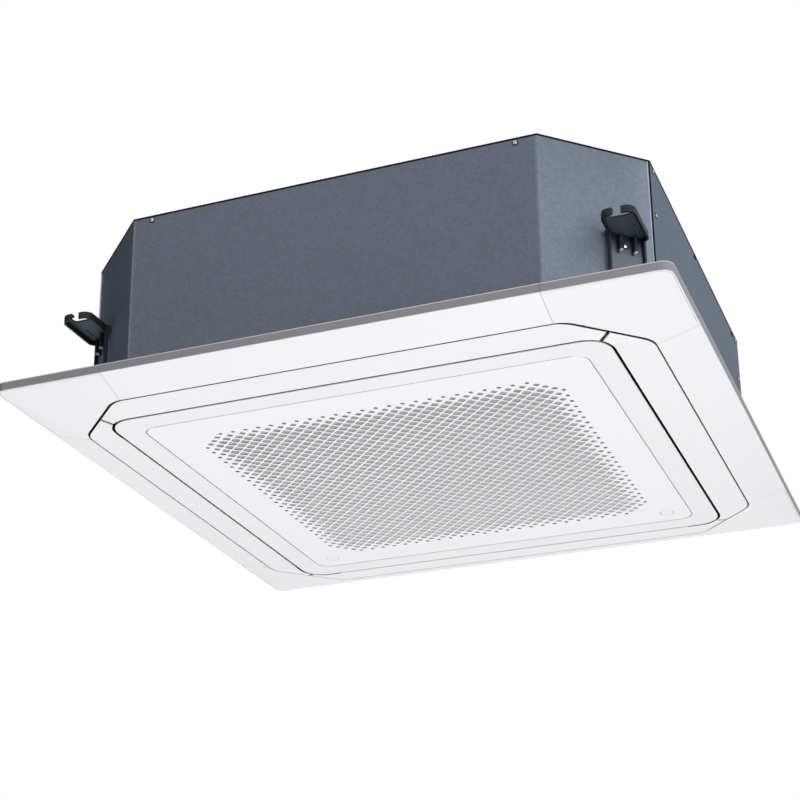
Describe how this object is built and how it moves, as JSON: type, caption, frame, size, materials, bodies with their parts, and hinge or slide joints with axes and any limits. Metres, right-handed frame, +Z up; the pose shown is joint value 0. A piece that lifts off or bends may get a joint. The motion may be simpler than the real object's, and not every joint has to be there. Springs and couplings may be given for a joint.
{
  "type": "ceiling cassette air conditioner",
  "caption": "Square ceiling cassette air conditioner: sheet-metal body on hanging brackets, white panel with perforated intake grille that swings down and hinged air vanes on every side.",
  "frame": {"origin": "on the vertical centre line of the unit, at the level of its lowest face, the underside of the intake grille", "axes": "+Z up towards the ceiling void; +X along the front edge of the panel, towards the right side; the front side, where the grille hinges, faces -Y"},
  "size_m": [0.95, 0.95, 0.2875],
  "materials": {
    "galvanised_sheet": "satin galvanised sheet",
    "dark_steel": "dark coated steel",
    "screw_steel": "zinc plated",
    "panel_white": "fine satin white",
    "grille_white": "fine satin white",
    "filter_mesh": "woven net in a moulded frame",
    "foam": "expanded foam",
    "rubber_black": "matte",
    "motor_case": "satin",
    "fan_plastic": "moulded",
    "fin_aluminium": "thin fins",
    "copper": "copper tube",
    "brass": "turned brass",
    "pump_plastic": "moulded",
    "hose_grey": "flexible hose",
    "board_green": "coated board",
    "terminal_plastic": "moulded"
  },
  "bodies": {
    "unit": {"casing_shell": "galvanised_sheet", "top_plate": "galvanised_sheet", "pipe_cover_plate": "galvanised_sheet", "bell_mouth": "galvanised_sheet", "electrical_box": "galvanised_sheet", "electrical_cover": "galvanised_sheet", "pump_bracket": "galvanised_sheet", "hanger_front_left": "dark_steel", "hanger_front_right": "dark_steel", "hanger_rear_left": "dark_steel", "hanger_rear_right": "dark_steel", "casing_screws": "screw_steel", "hanger_screws": "screw_steel", "panel_screws": "screw_steel", "motor_bolts": "screw_steel", "bell_mouth_screws": "screw_steel", "exchanger_end_plates": "screw_steel", "panel_frame": "panel_white", "intake_surround": "panel_white", "corner_cover_front_left": "panel_white", "corner_cover_front_right": "panel_white", "corner_cover_rear_left": "panel_white", "corner_cover_rear_right": "panel_white", "insulation_liner": "foam", "drain_pan": "foam", "outlet_frame": "foam", "panel_insulation": "foam", "panel_seal": "rubber_black", "motor_bushes": "rubber_black", "wiring_bush": "rubber_black", "fan_motor": "motor_case", "vane_motors": "motor_case", "heat_exchanger": "fin_aluminium", "exchanger_bends": "copper", "gas_header": "copper", "gas_pipe": "copper", "liquid_pipe": "copper", "liquid_distributor": "copper", "gas_union": "brass", "liquid_union": "brass", "drain_pump": "pump_plastic", "float_switch": "pump_plastic", "drain_socket": "pump_plastic", "drain_hose": "hose_grey", "control_board": "board_green", "terminal_block": "terminal_plastic"},
    "fan": {"turbo_fan": "fan_plastic", "motor_shaft": "screw_steel", "fan_nut": "screw_steel"},
    "grille": {"grille_panel": "grille_white", "grille_hinge_pins": "screw_steel", "air_filter": "filter_mesh"},
    "latch_left": {"grille_latch_left": "grille_white"},
    "latch_right": {"grille_latch_right": "grille_white"},
    "front_vane": {"vane_front": "panel_white"},
    "right_vane": {"vane_right": "panel_white"},
    "rear_vane": {"vane_rear": "panel_white"},
    "left_vane": {"vane_left": "panel_white"},
    "float_ring": {"float": "pump_plastic"}
  },
  "joints": [
    {"name": "fan_spin", "type": "hinge", "parent": "unit", "child": "fan", "pos_m": [0, 0, 0.2], "axis": [0, 0, 1], "continuous": true},
    {"name": "front_vane_swing", "type": "hinge", "parent": "unit", "child": "front_vane", "pos_m": [0, -0.38, 0.01], "axis": [1, 0, 0], "range_deg": [0, 55]},
    {"name": "right_vane_swing", "type": "hinge", "parent": "unit", "child": "right_vane", "pos_m": [0.38, 0, 0.01], "axis": [0, 1, 0], "range_deg": [0, 55]},
    {"name": "rear_vane_swing", "type": "hinge", "parent": "unit", "child": "rear_vane", "pos_m": [0, 0.38, 0.01], "axis": [-1, 0, 0], "range_deg": [0, 55]},
    {"name": "left_vane_swing", "type": "hinge", "parent": "unit", "child": "left_vane", "pos_m": [-0.38, 0, 0.01], "axis": [0, -1, 0], "range_deg": [0, 55]},
    {"name": "grille_swing", "type": "hinge", "parent": "unit", "child": "grille", "pos_m": [0, -0.303, 0.0055], "axis": [-1, 0, 0], "range_deg": [0, 90]},
    {"name": "left_latch_press", "type": "slide", "parent": "grille", "child": "latch_left", "axis": [0, 0, 1], "range_m": [0, 0.003], "stiffness_N_per_m": 600, "springref_m": -0.003},
    {"name": "right_latch_press", "type": "slide", "parent": "grille", "child": "latch_right", "axis": [0, 0, 1], "range_m": [0, 0.003], "stiffness_N_per_m": 600, "springref_m": -0.003},
    {"name": "float_rise", "type": "slide", "parent": "unit", "child": "float_ring", "axis": [0, 0, 1], "range_m": [0, 0.012]}
  ]
}
